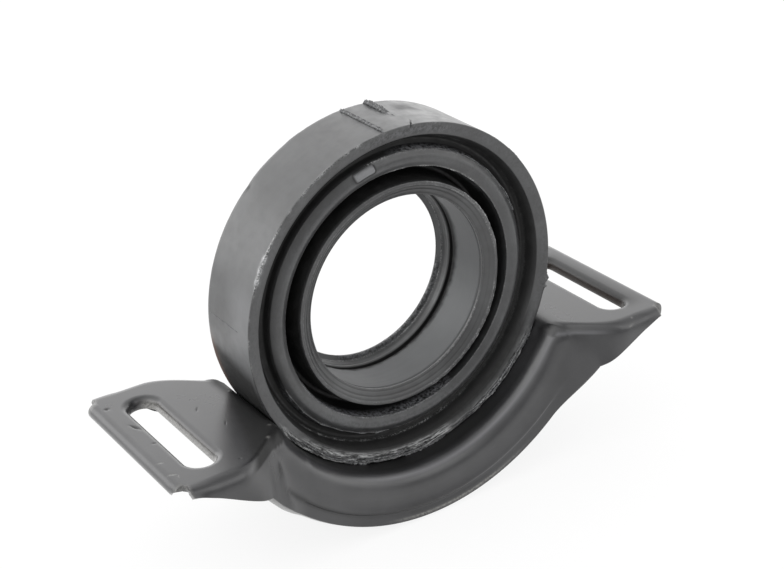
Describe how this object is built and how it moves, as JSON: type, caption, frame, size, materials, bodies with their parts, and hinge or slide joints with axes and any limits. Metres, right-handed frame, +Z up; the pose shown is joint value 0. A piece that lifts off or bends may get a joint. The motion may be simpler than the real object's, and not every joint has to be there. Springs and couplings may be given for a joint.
{
  "type": "driveshaft centre bearing support",
  "caption": "Moulded rubber bellows ring with a smooth bearing sleeve, held in a pressed steel saddle bracket with slotted ears.",
  "frame": {"origin": "bottom centre of the whole part: under the lowest edge of the saddle, on the middle plane of the rubber ring", "axes": "+Y along the shaft axis towards the rear of the ring (the grooved front face looks to -Y), +X across through the two ears, +Z up"},
  "size_m": [0.176, 0.0644, 0.1232],
  "materials": {
    "black_painted_steel": "satin",
    "black_rubber": "matte",
    "dark_sleeve_steel": "satin"
  },
  "bodies": {
    "root": {"bracket": "black_painted_steel", "rubber_ring": "black_rubber", "bearing_sleeve": "dark_sleeve_steel"}
  },
  "joints": []
}
